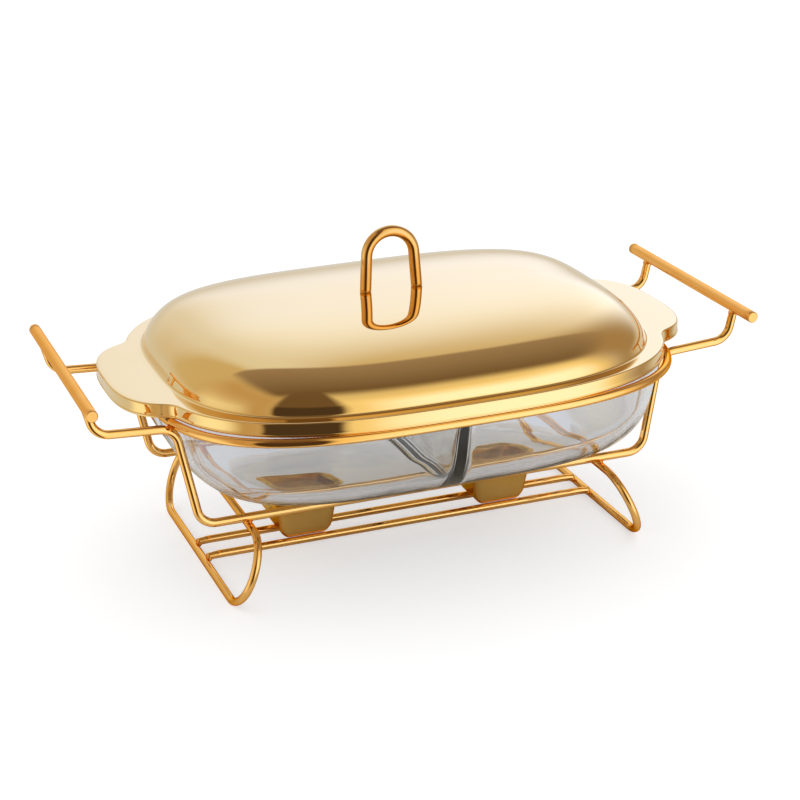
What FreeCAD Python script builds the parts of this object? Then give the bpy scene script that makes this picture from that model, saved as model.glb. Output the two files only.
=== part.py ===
import FreeCAD, Part
import math
import os
from FreeCAD import Vector

# Glass chafing dish on a bent wire stand, in millimetres.
# Origin: on the table, under the middle of the dish. +X runs towards the right
# handle bar, +Y towards the back, +Z up.

# Wire and rod stock
WIRE_DIAMETER = 6.0
FOOT_WIRE_DIAMETER = 5.5
ROD_DIAMETER = 8.0

# Rim ring: an oval hoop of wire that the dish hangs in
RING_HALF_LENGTH = 182.2
RING_HALF_WIDTH = 143.6
RING_SQUARENESS = 3.29

# Side wires: each one runs flat under the dish, up both ends and out to the bars
SIDE_WIRE_SPACING = 133.0
CRADLE_HEIGHT = 54.75
CRADLE_LEAN = 13.5
CRADLE_BEND_RADIUS = 13.0
SHOULDER_HEIGHT = 125.9
SHOULDER_INSET = 1.8
SHOULDER_BEND_RADIUS = 13.0
RISER_HEIGHT = 129.2
RISER_LEAN = 5.8
RISER_BEND_RADIUS = 13.0

# Handle bars: round rods welded across the ends of the side wires
BAR_SPACING = 468.0
BAR_HEIGHT = 152.5
BAR_LENGTH = 186.0
BAR_CHAMFER = 0.6

# Foot loops: closed wire loops that lean outwards under the side wires
FOOT_TOP_INSET = 32.8
FOOT_LEAN = 18.7
FOOT_SIDE_REACH = 35.8
FOOT_BASE_INSET = 15.3
FOOT_BULGE_HEIGHT = 12.0
FOOT_CORNER_RADIUS = 7.0
FOOT_BULGE_RADIUS = 24.0
FOOT_TOP_RADIUS = 25.0

# Candle rails: two wires that join the foot loops and carry the candle cups
RAIL_SPACING = 26.7
RAIL_RISE = 3.45

# Candle cups: pressed square cups for 38 mm tea lights
CUP_SPREAD = 148.0
CUP_TOP_WIDTH = 44.0
CUP_BASE_WIDTH = 36.0
CUP_HEIGHT = 25.5
CUP_CORNER_RADIUS = 9.0
CUP_BASE_RADIUS = 8.5
CUP_RIM_WIDTH = 5.0
CUP_WALL = 0.8
CUP_RAIL_CLEARANCE = 0.3

# Glass dish: a tapered oval bowl with a flat rim, two end lobes and a divider
DISH_RING_CLEARANCE = 1.0
DISH_SEAT_GAP = 0.3
DISH_RIM_THICKNESS = 8.3
DISH_BODY_DEPTH = 68.0
DISH_NECK_DEPTH = 6.5
DISH_DRAFT_DEGREES = 16.0
DISH_CORNER_RADIUS = 50.0
DISH_SQUARENESS_TOP = 3.15
DISH_SQUARENESS_BASE = 3.8
DISH_WALL = 4.6
DISH_FLOOR = 5.5
DIVIDER_TOP_WIDTH = 5.0
DIVIDER_BASE_WIDTH = 8.0
DIVIDER_DROP = 8.5

# Outline of the dish rim; the lid follows it
RIM_END_INSET = 1.3
RIM_SIDE_OVERHANG = 0.6
RIM_SQUARENESS = 2.96
LOBE_OVERHANG = 24.3
LOBE_HALF_LENGTH = 52.6
LOBE_HALF_WIDTH = 67.6
LOBE_SQUARENESS = 2.87
LOBE_NECK_RADIUS = 12.0

# Lid: one pressed shell with a turned-down skirt, a flat flange and a crowned dome
LID_WALL = 0.8
LID_RIM_CLEARANCE = 0.6
LID_SEAT_GAP = 0.3
LID_SKIRT_HEIGHT = 8.4
LID_EDGE_RADIUS = 1.2
DOME_END_INSET = 14.7
DOME_SIDE_INSET = 8.3
DOME_HEIGHT = 34.9
DOME_SQUARENESS_BASE = 3.0
DOME_SQUARENESS_TOP = 4.8
DOME_RIDGE_POWER = 0.37
DOME_SHOULDER_POWER = 3.3
DOME_WALL_POWER = 1.88
DOME_CROWN_SHARE = 0.1
DOME_FLAT_SHARE = 0.18

# Lid handle: a rod bent to an arch, held by two screws from inside the lid
HANDLE_LEG_SPACING = 37.8
HANDLE_ARCH_SPACING = 34.8
HANDLE_HEIGHT = 46.2
SCREW_DIAMETER = 4.0
SCREW_HOLE_CLEARANCE = 0.25
SCREW_GRIP = 8.0
SCREW_TIP_CLEARANCE = 1.0
SCREW_HEAD_DIAMETER = 7.6
SCREW_HEAD_HEIGHT = 2.4
SCREW_SLOT_WIDTH = 1.1
SCREW_SLOT_DEPTH = 1.0
WASHER_DIAMETER = 11.0
WASHER_THICKNESS = 1.0

# Sizes that follow from the ones above
OVAL_POINTS = 32
WIRE_RADIUS = WIRE_DIAMETER / 2
FOOT_WIRE_RADIUS = FOOT_WIRE_DIAMETER / 2
SIDE_WIRE_Y = SIDE_WIRE_SPACING / 2
RIM_HALF_LENGTH = RING_HALF_LENGTH - RIM_END_INSET
RIM_HALF_WIDTH = RING_HALF_WIDTH + RIM_SIDE_OVERHANG
LOBE_REACH = RIM_HALF_LENGTH + LOBE_OVERHANG
DOME_HALF_LENGTH = RIM_HALF_LENGTH - DOME_END_INSET
DOME_HALF_WIDTH = RIM_HALF_WIDTH - DOME_SIDE_INSET


def oval_point(half_length, half_width, squareness, angle):
    """Point of a superellipse in the direction of angle, seen from its centre."""
    cosine, sine = math.cos(angle), math.sin(angle)
    total = abs(cosine / half_length) ** squareness + abs(sine / half_width) ** squareness
    radius = total ** (-1.0 / squareness)
    return radius * cosine, radius * sine


def oval_wire(half_length, half_width, squareness, z, centre_x=0.0):
    """Closed smooth superellipse curve at height z."""
    points = []
    for index in range(OVAL_POINTS):
        x, y = oval_point(half_length, half_width, squareness, 2 * math.pi * index / OVAL_POINTS)
        points.append(Vector(centre_x + x, y, z))
    curve = Part.BSplineCurve()
    curve.interpolate(Points=points, PeriodicFlag=True)
    return Part.Wire([curve.toShape()])


def oval_prism(half_length, half_width, squareness, z_low, z_high, centre_x=0.0):
    """Solid with superellipse section between two heights."""
    wire = oval_wire(half_length, half_width, squareness, z_low, centre_x)
    return Part.Face(wire).extrude(Vector(0, 0, z_high - z_low))


def bent_path(corners, radii, closed=False):
    """Straight runs through the corners, joined by tangent arcs of the given radii."""
    count = len(corners)
    starts, ends, arcs = [], [], []
    for index in range(count):
        corner = corners[index]
        if not closed and index in (0, count - 1):
            starts.append(corner)
            ends.append(corner)
            arcs.append(None)
            continue
        back = (corners[index - 1] - corner).normalize()
        ahead = (corners[(index + 1) % count] - corner).normalize()
        half_turn = (math.pi - back.getAngle(ahead)) / 2
        length = radii[index] * math.tan(half_turn)
        start = corner + back * length
        end = corner + ahead * length
        bisector = (back + ahead).normalize()
        middle = corner + bisector * (radii[index] / math.cos(half_turn) - radii[index])
        starts.append(start)
        ends.append(end)
        arcs.append(Part.Arc(start, middle, end))
    edges = []
    for index in range(count):
        if arcs[index]:
            edges.append(arcs[index].toShape())
        following = (index + 1) % count
        if following or closed:
            edges.append(Part.LineSegment(ends[index], starts[following]).toShape())
    return Part.Wire(edges)


def round_wire(path, diameter):
    """Round wire swept along a path, as one solid."""
    edge = path.OrderedEdges[-1] if path.isClosed() else path.OrderedEdges[0]
    start = edge.valueAt(edge.FirstParameter)
    along = edge.tangentAt(edge.FirstParameter)
    section = Part.Wire([Part.makeCircle(diameter / 2, start, along)])
    return Part.Wire(path.OrderedEdges).makePipeShell([section], True, False)


def ring_half_length_at(y):
    """Distance of the rim ring's centreline from the middle plane at the width y."""
    share = (y / RING_HALF_WIDTH) ** RING_SQUARENESS
    return RING_HALF_LENGTH * (1 - share) ** (1 / RING_SQUARENESS)


SHOULDER_HALF_LENGTH = ring_half_length_at(SIDE_WIRE_Y) - SHOULDER_INSET
CRADLE_HALF_LENGTH = SHOULDER_HALF_LENGTH - CRADLE_LEAN
FOOT_TOP_HALF_SPREAD = CRADLE_HALF_LENGTH - FOOT_TOP_INSET
FOOT_BASE_HALF_SPREAD = FOOT_TOP_HALF_SPREAD + FOOT_LEAN
FOOT_BULGE_HALF_WIDTH = SIDE_WIRE_Y + FOOT_SIDE_REACH
FOOT_BASE_HALF_WIDTH = FOOT_BULGE_HALF_WIDTH - FOOT_BASE_INSET
FOOT_RISE = CRADLE_HEIGHT - WIRE_RADIUS - FOOT_WIRE_DIAMETER
FOOT_SLOPE_LENGTH = math.hypot(FOOT_RISE, FOOT_LEAN)
RAIL_HEIGHT = FOOT_WIRE_RADIUS + RAIL_RISE


def side_wire_corners(y):
    """Corners of a side wire from the left bar to the right bar."""
    half = [
        (BAR_SPACING / 2, BAR_HEIGHT),
        (BAR_SPACING / 2 - RISER_LEAN, RISER_HEIGHT),
        (SHOULDER_HALF_LENGTH, SHOULDER_HEIGHT),
        (CRADLE_HALF_LENGTH, CRADLE_HEIGHT),
    ]
    left = [Vector(-x, y, z) for x, z in half]
    right = [Vector(x, y, z) for x, z in reversed(half)]
    return left + right


def side_wire_path(y):
    """Centreline of a side wire with its bends."""
    half = [0.0, RISER_BEND_RADIUS, SHOULDER_BEND_RADIUS, CRADLE_BEND_RADIUS]
    return bent_path(side_wire_corners(y), half + half[::-1])


def ring_height():
    """Height at which the rim ring comes to rest on the shoulders of the side wires."""
    crossing_x = ring_half_length_at(SIDE_WIRE_Y)
    highest = CRADLE_HEIGHT
    for edge in side_wire_path(SIDE_WIRE_Y).Edges:
        for point in edge.discretize(Number=200):
            reach = WIRE_DIAMETER ** 2 - (crossing_x - point.x) ** 2
            if reach > 0:
                highest = max(highest, point.z + math.sqrt(reach))
    return highest


RING_HEIGHT = ring_height()
RIM_UNDERSIDE = RING_HEIGHT + WIRE_RADIUS + DISH_SEAT_GAP
RIM_TOP = RIM_UNDERSIDE + DISH_RIM_THICKNESS
LID_FLANGE_TOP = RIM_TOP + LID_SEAT_GAP + LID_WALL


def dome_rise(share):
    """Height of the dome above the flange at a share of its half width.

    A flat-topped shoulder curve, with a parabolic crown as a small part of the height.
    """
    shoulder = max(0.0, 1 - share ** DOME_SHOULDER_POWER) ** (1 / DOME_WALL_POWER)
    crown = 1 - share ** 2
    return DOME_HEIGHT * ((1 - DOME_CROWN_SHARE) * shoulder + DOME_CROWN_SHARE * crown)


DOME_TOP = LID_FLANGE_TOP + dome_rise(DOME_FLAT_SHARE)


def handle_bar(x):
    """Round bar across the ends of the two side wires."""
    start = Vector(x, -BAR_LENGTH / 2, BAR_HEIGHT)
    bar = Part.makeCylinder(ROD_DIAMETER / 2, BAR_LENGTH, start, Vector(0, 1, 0))
    rims = [edge for edge in bar.Edges if abs(abs(edge.CenterOfMass.y) - BAR_LENGTH / 2) < 0.01]
    return bar.makeChamfer(BAR_CHAMFER, rims)


def rim_ring():
    """Oval wire hoop that the dish hangs in."""
    path = oval_wire(RING_HALF_LENGTH, RING_HALF_WIDTH, RING_SQUARENESS, RING_HEIGHT)
    start = Vector(RING_HALF_LENGTH, 0, RING_HEIGHT)
    section = Part.Wire([Part.makeCircle(WIRE_RADIUS, start, Vector(0, 1, 0))])
    return path.makePipeShell([section], True, False)


def foot_point(side, y, height):
    """Point in the leaning plane of a foot loop, height being measured up that plane."""
    share = height / FOOT_SLOPE_LENGTH
    x = FOOT_BASE_HALF_SPREAD - FOOT_LEAN * share
    return Vector(side * x, y, FOOT_WIRE_RADIUS + FOOT_RISE * share)


def foot_loop(side):
    """Closed wire loop: straight base on the table, bulging sides, straight top."""
    outline = [
        (FOOT_BASE_HALF_WIDTH, 0.0, FOOT_CORNER_RADIUS),
        (FOOT_BULGE_HALF_WIDTH, FOOT_BULGE_HEIGHT, FOOT_BULGE_RADIUS),
        (FOOT_BULGE_HALF_WIDTH, FOOT_SLOPE_LENGTH, FOOT_TOP_RADIUS),
    ]
    corners = [foot_point(side, y, height) for y, height, radius in outline]
    corners += [foot_point(side, -y, height) for y, height, radius in reversed(outline)]
    radii = [radius for y, height, radius in outline]
    return round_wire(bent_path(corners, radii + radii[::-1], closed=True), FOOT_WIRE_DIAMETER)


def candle_rail(y):
    """Straight wire between the bases of the foot loops."""
    start = Vector(-FOOT_BASE_HALF_SPREAD, y, RAIL_HEIGHT)
    return Part.makeCylinder(FOOT_WIRE_RADIUS, 2 * FOOT_BASE_HALF_SPREAD, start, Vector(1, 0, 0))


def square_wire(width, radius, z):
    """Square with rounded corners at height z, centred on the axis."""
    half = width / 2
    corners = [Vector(half, -half, z), Vector(half, half, z), Vector(-half, half, z), Vector(-half, -half, z)]
    return bent_path(corners, [radius] * 4, closed=True)


def cup_body(inset, z_low, z_high):
    """Tapered square cup shape, drawn in from the outside by inset, with a rounded base."""
    taper = (CUP_TOP_WIDTH - CUP_BASE_WIDTH) / CUP_HEIGHT
    radius = CUP_BASE_RADIUS - inset
    sections = []
    for step in range(7):
        angle = math.radians(90.0 - 15.0 * step)
        z = z_low + radius * (1 - math.sin(angle))
        width = CUP_BASE_WIDTH - 2 * inset - 2 * radius * (1 - math.cos(angle))
        width += taper * (z - z_low)
        corner = max(CUP_CORNER_RADIUS - inset - (CUP_BASE_WIDTH - 2 * inset - width) / 2, 1.0)
        sections.append(square_wire(width, corner, z))
    sections.append(square_wire(CUP_TOP_WIDTH - 2 * inset, CUP_CORNER_RADIUS - inset, z_high))
    return Part.makeLoft(sections, True, True)


def cup_base_height():
    """Height of the cup's base where its rounded edge rests on the two rails."""
    across = RAIL_SPACING / 2 - (CUP_BASE_WIDTH / 2 - CUP_BASE_RADIUS)
    reach = CUP_BASE_RADIUS + FOOT_WIRE_RADIUS + CUP_RAIL_CLEARANCE
    return RAIL_HEIGHT + math.sqrt(reach ** 2 - across ** 2) - CUP_BASE_RADIUS


CUP_BASE_HEIGHT = cup_base_height()


def candle_cup(x):
    """Thin pressed cup with a flat square rim."""
    top = CUP_BASE_HEIGHT + CUP_HEIGHT
    outer = cup_body(0.0, CUP_BASE_HEIGHT, top)
    rim_width = CUP_TOP_WIDTH + 2 * CUP_RIM_WIDTH
    rim_face = Part.Face(square_wire(rim_width, CUP_CORNER_RADIUS + CUP_RIM_WIDTH, top - CUP_WALL))
    inner = cup_body(CUP_WALL, CUP_BASE_HEIGHT + CUP_WALL, top)
    cup = outer.fuse(rim_face.extrude(Vector(0, 0, CUP_WALL))).cut(inner)
    cup.translate(Vector(x, 0, 0))
    return cup


def rim_outline_prism(offset, z_low, z_high):
    """Oval with a lobe at each end, grown outwards by offset, between two heights."""
    shape = oval_prism(
        RIM_HALF_LENGTH + offset, RIM_HALF_WIDTH + offset, RIM_SQUARENESS, z_low, z_high)
    for side in (-1, 1):
        lobe = oval_prism(
            LOBE_HALF_LENGTH + offset, LOBE_HALF_WIDTH + offset, LOBE_SQUARENESS,
            z_low, z_high, side * (LOBE_REACH - LOBE_HALF_LENGTH))
        shape = shape.fuse(lobe)
    shape = shape.removeSplitter()
    necks = [
        edge for edge in shape.Edges
        if abs(edge.BoundBox.ZLength - (z_high - z_low)) < 0.01
        and edge.BoundBox.XLength < 0.01 and abs(edge.CenterOfMass.y) > LOBE_HALF_WIDTH / 2]
    return shape.makeFillet(LOBE_NECK_RADIUS - offset, necks)


def dish_profile(inset, floor_height, radius):
    """Pairs of inward step and height down the dish wall, from neck to floor."""
    draft = math.radians(DISH_DRAFT_DEGREES)
    neck_height = RIM_UNDERSIDE - DISH_NECK_DEPTH
    centre_height = floor_height + radius
    wall_end = centre_height - radius * math.sin(draft)
    wall_step = (neck_height - wall_end) * math.tan(draft)
    centre_step = inset + wall_step + radius * math.cos(draft)
    profile = [(inset, neck_height)]
    profile.append((inset + wall_step / 2, (neck_height + wall_end) / 2))
    arc_steps = 7
    for step in range(arc_steps + 1):
        angle = draft + (math.pi / 2 - draft) * step / arc_steps
        profile.append((centre_step - radius * math.cos(angle), centre_height - radius * math.sin(angle)))
    return profile


def dish_bowl(inset, floor_height, radius, z_top):
    """Bowl-shaped solid of the dish, drawn in by inset, with a straight neck up to z_top."""
    half_length = RING_HALF_LENGTH - WIRE_RADIUS - DISH_RING_CLEARANCE
    half_width = RING_HALF_WIDTH - WIRE_RADIUS - DISH_RING_CLEARANCE
    profile = dish_profile(inset, floor_height, radius)
    neck_height = profile[0][1]
    sections = []
    for step_in, z in profile:
        share = (neck_height - z) / (neck_height - floor_height)
        squareness = DISH_SQUARENESS_TOP + (DISH_SQUARENESS_BASE - DISH_SQUARENESS_TOP) * share
        sections.append(oval_wire(half_length - step_in, half_width - step_in, squareness, z))
    bowl = Part.makeLoft(sections[::-1], True, False)
    neck = oval_prism(half_length - inset, half_width - inset, DISH_SQUARENESS_TOP, neck_height, z_top)
    return bowl.fuse(neck)


def divider_prism(z_low, z_high):
    """Wall across the dish, thinner at its top."""
    base, top = DIVIDER_BASE_WIDTH / 2, DIVIDER_TOP_WIDTH / 2
    y = -RIM_HALF_WIDTH
    corners = [Vector(-base, y, z_low), Vector(base, y, z_low), Vector(top, y, z_high), Vector(-top, y, z_high)]
    face = Part.Face(Part.makePolygon(corners + corners[:1]))
    return face.extrude(Vector(0, 2 * RIM_HALF_WIDTH, 0))


def glass_dish():
    """Moulded glass dish with two compartments."""
    floor_height = RIM_UNDERSIDE - DISH_BODY_DEPTH
    outer = dish_bowl(0.0, floor_height, DISH_CORNER_RADIUS, RIM_TOP)
    rim = rim_outline_prism(0.0, RIM_UNDERSIDE, RIM_TOP)
    cavity = dish_bowl(
        DISH_WALL, floor_height + DISH_FLOOR, DISH_CORNER_RADIUS - DISH_WALL, RIM_TOP + DISH_WALL)
    cavity = cavity.cut(divider_prism(floor_height, RIM_TOP - DIVIDER_DROP))
    return outer.fuse(rim).cut(cavity).removeSplitter()


def dome_solid(inset, z_base):
    """Crowned dome above the flange, drawn in by inset, reaching down to z_base.

    The ends stay full towards the top: the length shrinks with a low power of the width.
    """
    base_length, base_width = DOME_HALF_LENGTH - inset, DOME_HALF_WIDTH - inset
    sections = [oval_wire(base_length, base_width, DOME_SQUARENESS_BASE, z_base)]
    steps = 9
    flat_turn = math.asin(DOME_FLAT_SHARE)
    for step in range(1, steps + 1):
        turn = math.pi / 2 + (flat_turn - math.pi / 2) * step / steps
        share = math.sin(turn)
        squareness = DOME_SQUARENESS_TOP + (DOME_SQUARENESS_BASE - DOME_SQUARENESS_TOP) * share
        sections.append(oval_wire(
            base_length * share ** DOME_RIDGE_POWER, base_width * share,
            squareness, LID_FLANGE_TOP + dome_rise(share) - inset))
    return Part.makeLoft(sections, True, False)


def screw_places():
    """Places of the two handle screws along the length of the lid."""
    return (-HANDLE_LEG_SPACING / 2, HANDLE_LEG_SPACING / 2)


def lid_shell():
    """Pressed lid: skirt, flat flange and dome in one thickness of sheet."""
    grow = LID_RIM_CLEARANCE + LID_WALL
    skirt_low = LID_FLANGE_TOP - LID_SKIRT_HEIGHT
    outer = rim_outline_prism(grow, skirt_low, LID_FLANGE_TOP)
    top_edges = [edge for edge in outer.Edges if edge.BoundBox.ZMin > LID_FLANGE_TOP - 0.01]
    outer = outer.makeFillet(LID_EDGE_RADIUS, top_edges)
    outer = outer.fuse(dome_solid(0.0, LID_FLANGE_TOP - LID_WALL / 2))
    inner = rim_outline_prism(LID_RIM_CLEARANCE, skirt_low, LID_FLANGE_TOP - LID_WALL)
    inner = inner.fuse(dome_solid(LID_WALL, LID_FLANGE_TOP - 2 * LID_WALL))
    shell = outer.cut(inner)
    hole_radius = SCREW_DIAMETER / 2 + SCREW_HOLE_CLEARANCE
    for x in screw_places():
        shell = shell.cut(Part.makeCylinder(hole_radius, DOME_HEIGHT + LID_WALL, Vector(x, 0, LID_FLANGE_TOP)))
    return shell


def lid_handle():
    """Rod arch with legs that splay a little and feet flat on the dome."""
    radius = HANDLE_ARCH_SPACING / 2
    top = DOME_TOP + HANDLE_HEIGHT - ROD_DIAMETER / 2
    splay = math.atan((HANDLE_LEG_SPACING / 2 - radius) / (top - radius - DOME_TOP))
    arch_x, arch_z = radius * math.cos(splay), top - radius + radius * math.sin(splay)
    foot_z = DOME_TOP - ROD_DIAMETER / 2
    foot_x = arch_x + (arch_z - foot_z) * math.tan(splay)
    left_end, right_end = Vector(-arch_x, 0, arch_z), Vector(arch_x, 0, arch_z)
    edges = [
        Part.LineSegment(Vector(-foot_x, 0, foot_z), left_end).toShape(),
        Part.Arc(left_end, Vector(0, 0, top), right_end).toShape(),
        Part.LineSegment(right_end, Vector(foot_x, 0, foot_z)).toShape(),
    ]
    along = Vector(math.sin(splay), 0, math.cos(splay))
    start = Vector(-foot_x, 0, foot_z)
    section = Part.Wire([Part.makeCircle(ROD_DIAMETER / 2, start, along)])
    handle = Part.Wire(edges).makePipeShell([section], True, False)
    below = Part.makeBox(
        2 * HANDLE_LEG_SPACING, 2 * ROD_DIAMETER, ROD_DIAMETER,
        Vector(-HANDLE_LEG_SPACING, -ROD_DIAMETER, DOME_TOP - ROD_DIAMETER))
    handle = handle.cut(below)
    for x in screw_places():
        handle = handle.cut(Part.makeCylinder(SCREW_DIAMETER / 2, SCREW_GRIP, Vector(x, 0, DOME_TOP)))
    return handle


def handle_washer(x):
    """Flat washer against the inside of the lid."""
    low = Vector(x, 0, DOME_TOP - LID_WALL - WASHER_THICKNESS)
    disc = Part.makeCylinder(WASHER_DIAMETER / 2, WASHER_THICKNESS, low)
    hole_radius = SCREW_DIAMETER / 2 + SCREW_HOLE_CLEARANCE
    return disc.cut(Part.makeCylinder(hole_radius, WASHER_THICKNESS, low))


def handle_screw(x):
    """Slotted screw from inside the lid up into the handle's leg."""
    seat = DOME_TOP - LID_WALL - WASHER_THICKNESS
    tip = DOME_TOP + SCREW_GRIP - SCREW_TIP_CLEARANCE
    head_low = seat - SCREW_HEAD_HEIGHT
    shank = Part.makeCylinder(SCREW_DIAMETER / 2, tip - seat, Vector(x, 0, seat))
    head = Part.makeCylinder(SCREW_HEAD_DIAMETER / 2, SCREW_HEAD_HEIGHT, Vector(x, 0, head_low))
    slot = Part.makeBox(
        SCREW_HEAD_DIAMETER, SCREW_SLOT_WIDTH, SCREW_SLOT_DEPTH,
        Vector(x - SCREW_HEAD_DIAMETER / 2, -SCREW_SLOT_WIDTH / 2, head_low))
    return shank.fuse(head).cut(slot).removeSplitter()


def stand_parts():
    """Welded stand: each later wire is cut to fit the one it is welded to."""
    bars = {"left_handle_bar": handle_bar(-BAR_SPACING / 2), "right_handle_bar": handle_bar(BAR_SPACING / 2)}
    ring = rim_ring()
    feet = {"left_foot_loop": foot_loop(-1), "right_foot_loop": foot_loop(1)}
    parts = dict(bars, rim_ring=ring, **feet)
    for name, y in (("front_side_wire", -SIDE_WIRE_Y), ("back_side_wire", SIDE_WIRE_Y)):
        wire = round_wire(side_wire_path(y), WIRE_DIAMETER)
        for neighbour in list(bars.values()) + [ring] + list(feet.values()):
            wire = wire.cut(neighbour)
        parts[name] = wire
    for name, y in (("front_candle_rail", -RAIL_SPACING / 2), ("back_candle_rail", RAIL_SPACING / 2)):
        rail = candle_rail(y)
        for foot in feet.values():
            rail = rail.cut(foot)
        parts[name] = rail
    return parts


def lid_parts():
    """Lid with its handle, screws and washers."""
    parts = {"lid_shell": lid_shell(), "lid_handle": lid_handle()}
    for side, x in zip(("left", "right"), screw_places()):
        parts[side + "_handle_washer"] = handle_washer(x)
        parts[side + "_handle_screw"] = handle_screw(x)
    return parts


def build():
    parts = stand_parts()
    parts["left_candle_cup"] = candle_cup(-CUP_SPREAD / 2)
    parts["right_candle_cup"] = candle_cup(CUP_SPREAD / 2)
    parts["glass_dish"] = glass_dish()
    parts.update(lid_parts())
    os.makedirs("parts", exist_ok=True)
    for name, shape in parts.items():
        solids = shape.Solids
        if len(solids) == 1:
            shape = solids[0]
        shape.exportStep("parts/" + name + ".step")
        box = shape.BoundBox
        print("%-20s solids %d valid %s volume %.0f  x %.1f..%.1f  y %.1f..%.1f  z %.1f..%.1f" % (
            name, len(solids), shape.isValid(), shape.Volume,
            box.XMin, box.XMax, box.YMin, box.YMax, box.ZMin, box.ZMax))


build()
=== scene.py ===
import bmesh
import bpy
import numpy as np
from mathutils import Matrix, Vector


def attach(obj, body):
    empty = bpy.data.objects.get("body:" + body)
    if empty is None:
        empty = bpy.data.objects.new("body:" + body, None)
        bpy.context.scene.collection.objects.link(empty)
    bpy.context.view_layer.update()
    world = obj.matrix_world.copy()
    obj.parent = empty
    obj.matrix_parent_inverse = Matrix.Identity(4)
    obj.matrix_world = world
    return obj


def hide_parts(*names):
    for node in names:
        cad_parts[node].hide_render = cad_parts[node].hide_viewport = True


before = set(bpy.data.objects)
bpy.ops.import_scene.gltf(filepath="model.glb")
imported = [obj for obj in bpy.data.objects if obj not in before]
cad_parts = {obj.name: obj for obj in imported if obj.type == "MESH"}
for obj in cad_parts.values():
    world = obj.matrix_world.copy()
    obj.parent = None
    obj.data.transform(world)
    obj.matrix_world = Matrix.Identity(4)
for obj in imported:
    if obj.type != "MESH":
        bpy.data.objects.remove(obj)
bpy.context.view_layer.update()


# Handle bars. Two 8 mm round steel rods across the ends of the side wires, which are welded to
# them from below. They are gold plated over a satin grind, and their sawn ends are chamfered.

BAR_RADIUS = 4.0
BAR_HALF_LENGTH = 93.0
BAR_HALF_SPACING = 234.0
BAR_HEIGHT = 152.5
BAR_CHAMFER = 0.6


def tube(centres, side, up, radius, columns=32):
    """Rows of points round a centreline: centre + radius (cos t side + sin t up), where side and up
    are unit vectors square to the line and t goes once round."""
    turn = np.linspace(0, 2 * np.pi, columns, endpoint=False)
    radius = np.broadcast_to(radius, len(centres))[:, None, None]
    circle = np.cos(turn)[:, None] * side[:, None] + np.sin(turn)[:, None] * up[:, None]
    return centres[:, None] + radius * circle


def surface(name, grid, closed_rows=False, start=None, end=None, flat_caps=False):
    """Mesh of a grid of points in millimetres, whose rows are closed loops.

    Quads join each row to the next. A start or end point closes the first or last row with a fan.
    The faces are turned so that the volume, the sum of a . (b x c) / 6, comes out positive."""
    rows, columns = grid.shape[:2]
    index = np.arange(rows * columns).reshape(rows, columns)
    rounds = np.vstack((index, index[:1])) if closed_rows else index
    ahead = np.roll(rounds, -1, axis=1)
    quads = np.stack((rounds[:-1], ahead[:-1], ahead[1:], rounds[1:]), -1).reshape(-1, 4)
    points = [grid.reshape(-1, 3)]
    fans = []
    for pole, row, order in ((start, index[0], 1), (end, index[-1], -1)):
        if pole is not None:
            tip = np.full(columns, rows * columns + len(points) - 1)
            fans.append(np.stack((np.roll(row, -1), row, tip)[::order], -1))
            points.append(np.array(pole, float)[None])
    points = np.vstack(points) / 1000
    faces = quads.tolist() + [face for fan in fans for face in fan.tolist()]
    a, b, c, d = (points[quads[:, i]] for i in range(4))
    volume = np.einsum("ij,ij->", a, np.cross(b, c)) + np.einsum("ij,ij->", a, np.cross(c, d))
    for fan in fans:
        a, b, c = (points[fan[:, i]] for i in range(3))
        volume += np.einsum("ij,ij->", a, np.cross(b, c))
    if volume < 0:
        faces = [face[::-1] for face in faces]
    mesh = bpy.data.meshes.new(name)
    mesh.from_pydata(points.tolist(), [], faces)
    smooth = np.ones(len(faces), bool)
    if flat_caps:
        smooth[len(quads):] = False
    mesh.polygons.foreach_set("use_smooth", smooth)
    mesh.update()
    piece = bpy.data.objects.new(name, mesh)
    bpy.context.scene.collection.objects.link(piece)
    return piece


def linear(hex_colour):
    """Linear red, green, blue and alpha of an sRGB hex colour."""
    value = np.array([int(hex_colour[i:i + 2], 16) for i in (1, 3, 5)]) / 255
    value = np.where(value <= 0.04045, value / 12.92, ((value + 0.055) / 1.055) ** 2.4)
    return (*value.tolist(), 1.0)


def add_node(tree, kind, settings=(), inputs=()):
    """Adds a shader node, sets its settings, and fills its inputs with values or output sockets."""
    node = tree.nodes.new("ShaderNode" + kind)
    for name, value in dict(settings).items():
        setattr(node, name, value)
    for name, value in dict(inputs).items():
        if isinstance(value, bpy.types.NodeSocket):
            tree.links.new(value, node.inputs[name])
        else:
            node.inputs[name].default_value = value
    return node


def empty_material(name):
    """A node material with nothing in it yet, and its node tree."""
    material = bpy.data.materials.new(name)
    material.use_nodes = True
    material.node_tree.nodes.clear()
    return material, material.node_tree


MIX_COLOURS = {"data_type": "RGBA"}

# Gold plating on a satin-ground rod. The grind runs along the bar, so the reflection is drawn out
# across it into a soft peach-gold sheen, with a little cloudiness where the plating is thicker.
satin_bar_gold, tree = empty_material("satin_gold_plated_rod")
place = add_node(tree, "TexCoord").outputs["Object"]
along = add_node(tree, "Mapping", inputs={"Vector": place, "Scale": (900, 26, 900)})
grind = add_node(tree, "TexNoise", inputs={"Vector": along.outputs[0], "Scale": 1.0, "Detail": 3.0})
cloud = add_node(tree, "TexNoise", inputs={"Vector": place, "Scale": 45.0})
colour = add_node(tree, "Mix", MIX_COLOURS, {0: cloud.outputs[0], 6: linear("#FFBB66"), 7: linear("#FFCB80")})
rough = add_node(tree, "MapRange", inputs={"Value": grind.outputs[0], "To Min": 0.24, "To Max": 0.38})
relief = add_node(tree, "Bump", inputs={"Height": grind.outputs[0], "Strength": 0.5, "Distance": 0.00004})
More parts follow.
